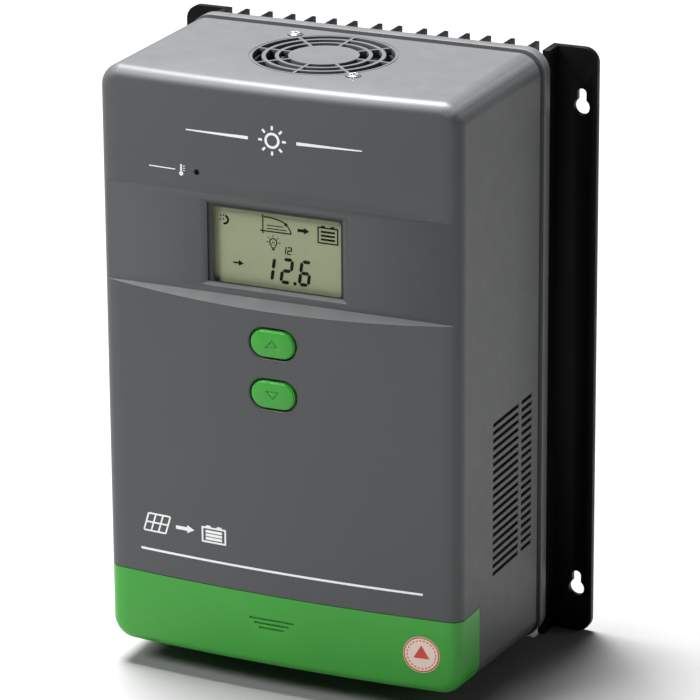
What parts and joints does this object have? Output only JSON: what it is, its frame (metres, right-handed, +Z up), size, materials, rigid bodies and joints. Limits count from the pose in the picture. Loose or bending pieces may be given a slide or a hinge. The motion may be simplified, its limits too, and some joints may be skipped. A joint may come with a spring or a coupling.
{
  "type": "solar charge controller",
  "caption": "Wall-mounted solar charge controller: crowned moulded cover with display, push buttons, top fan, side louvres, sliding terminal cover and finned heat sink.",
  "frame": {"origin": "centre of the four wall keyholes, on the wall plane", "axes": "+Z up, -Y out of the front face, +Y into the wall, +X to the right seen from the front"},
  "size_m": [0.194, 0.1194, 0.2699],
  "materials": {
    "cover_plastic": "fine textured moulding",
    "green_plastic": "satin moulding",
    "frame_plastic": "fine textured moulding",
    "gasket_rubber": "matte",
    "anodised_alloy": "black anodised, satin",
    "clear_window": "polished",
    "tinned_steel": "tinned",
    "lcd_glass": "polished",
    "light_guide": "polished",
    "circuit_board": "satin solder mask",
    "zinc_steel": "zinc plated",
    "button_plastic": "satin moulding",
    "plunger_plastic": "smooth",
    "black_plastic": "satin moulding",
    "sensor_epoxy": "cast epoxy",
    "copper_coil": "enamelled copper wire",
    "bright_steel": "bright nickel plated",
    "wire_sleeve": "smooth",
    "brass": "turned",
    "core_iron": "coated iron powder",
    "capacitor_can": "shrink sleeve",
    "thermal_pad": "matte",
    "bar_alloy": "brushed",
    "shunt_wire": "drawn wire",
    "ribbon_sleeve": "smooth",
    "header_plastic": "smooth",
    "block_plastic": "satin moulding",
    "grommet_rubber": "matte"
  },
  "bodies": {
    "housing": {"front_cover": "cover_plastic", "rear_frame": "frame_plastic", "gasket": "gasket_rubber", "heat_sink": "anodised_alloy", "display_window": "clear_window", "lcd_bezel": "tinned_steel", "lcd_glass": "lcd_glass", "lcd_backlight": "light_guide", "display_board": "circuit_board", "display_screws": "zinc_steel", "switch_bodies": "black_plastic", "temp_sensor": "sensor_epoxy", "fan_frame": "black_plastic", "fan_stator": "copper_coil", "fan_screws": "bright_steel", "fan_lead": "wire_sleeve", "main_board": "circuit_board", "board_standoffs": "brass", "board_screws": "zinc_steel", "inductor_cores": "core_iron", "inductor_windings": "copper_coil", "capacitors": "capacitor_can", "power_transistors": "black_plastic", "thermal_pads": "thermal_pad", "clamp_bars": "bar_alloy", "clamp_screws": "zinc_steel", "control_chip": "black_plastic", "current_shunts": "shunt_wire", "ribbon_cable": "ribbon_sleeve", "cable_headers": "header_plastic", "terminal_block": "block_plastic", "terminal_clamps": "tinned_steel", "terminal_screws": "bright_steel", "cable_grommets": "grommet_rubber", "chassis_screws": "zinc_steel", "sink_screws": "zinc_steel"},
    "lower_cover": {"terminal_cover": "green_plastic"},
    "up_key": {"up_button": "button_plastic", "up_plunger": "plunger_plastic"},
    "down_key": {"down_button": "button_plastic", "down_plunger": "plunger_plastic"},
    "rotor": {"fan_rotor": "black_plastic"}
  },
  "joints": [
    {"name": "up_button_press", "type": "slide", "parent": "housing", "child": "up_key", "axis": [0, 1, 0], "range_m": [0, 0.001], "stiffness_N_per_m": 600, "springref_m": -0.001},
    {"name": "down_button_press", "type": "slide", "parent": "housing", "child": "down_key", "axis": [0, 1, 0], "range_m": [0, 0.001], "stiffness_N_per_m": 600, "springref_m": -0.001},
    {"name": "fan_spin", "type": "hinge", "parent": "housing", "child": "rotor", "pos_m": [-0.001, -0.066, 0.125], "axis": [0, 0, 1], "continuous": true},
    {"name": "lower_cover_slide", "type": "slide", "parent": "housing", "child": "lower_cover", "axis": [0, 0, -1], "range_m": [0, 0.045]}
  ]
}
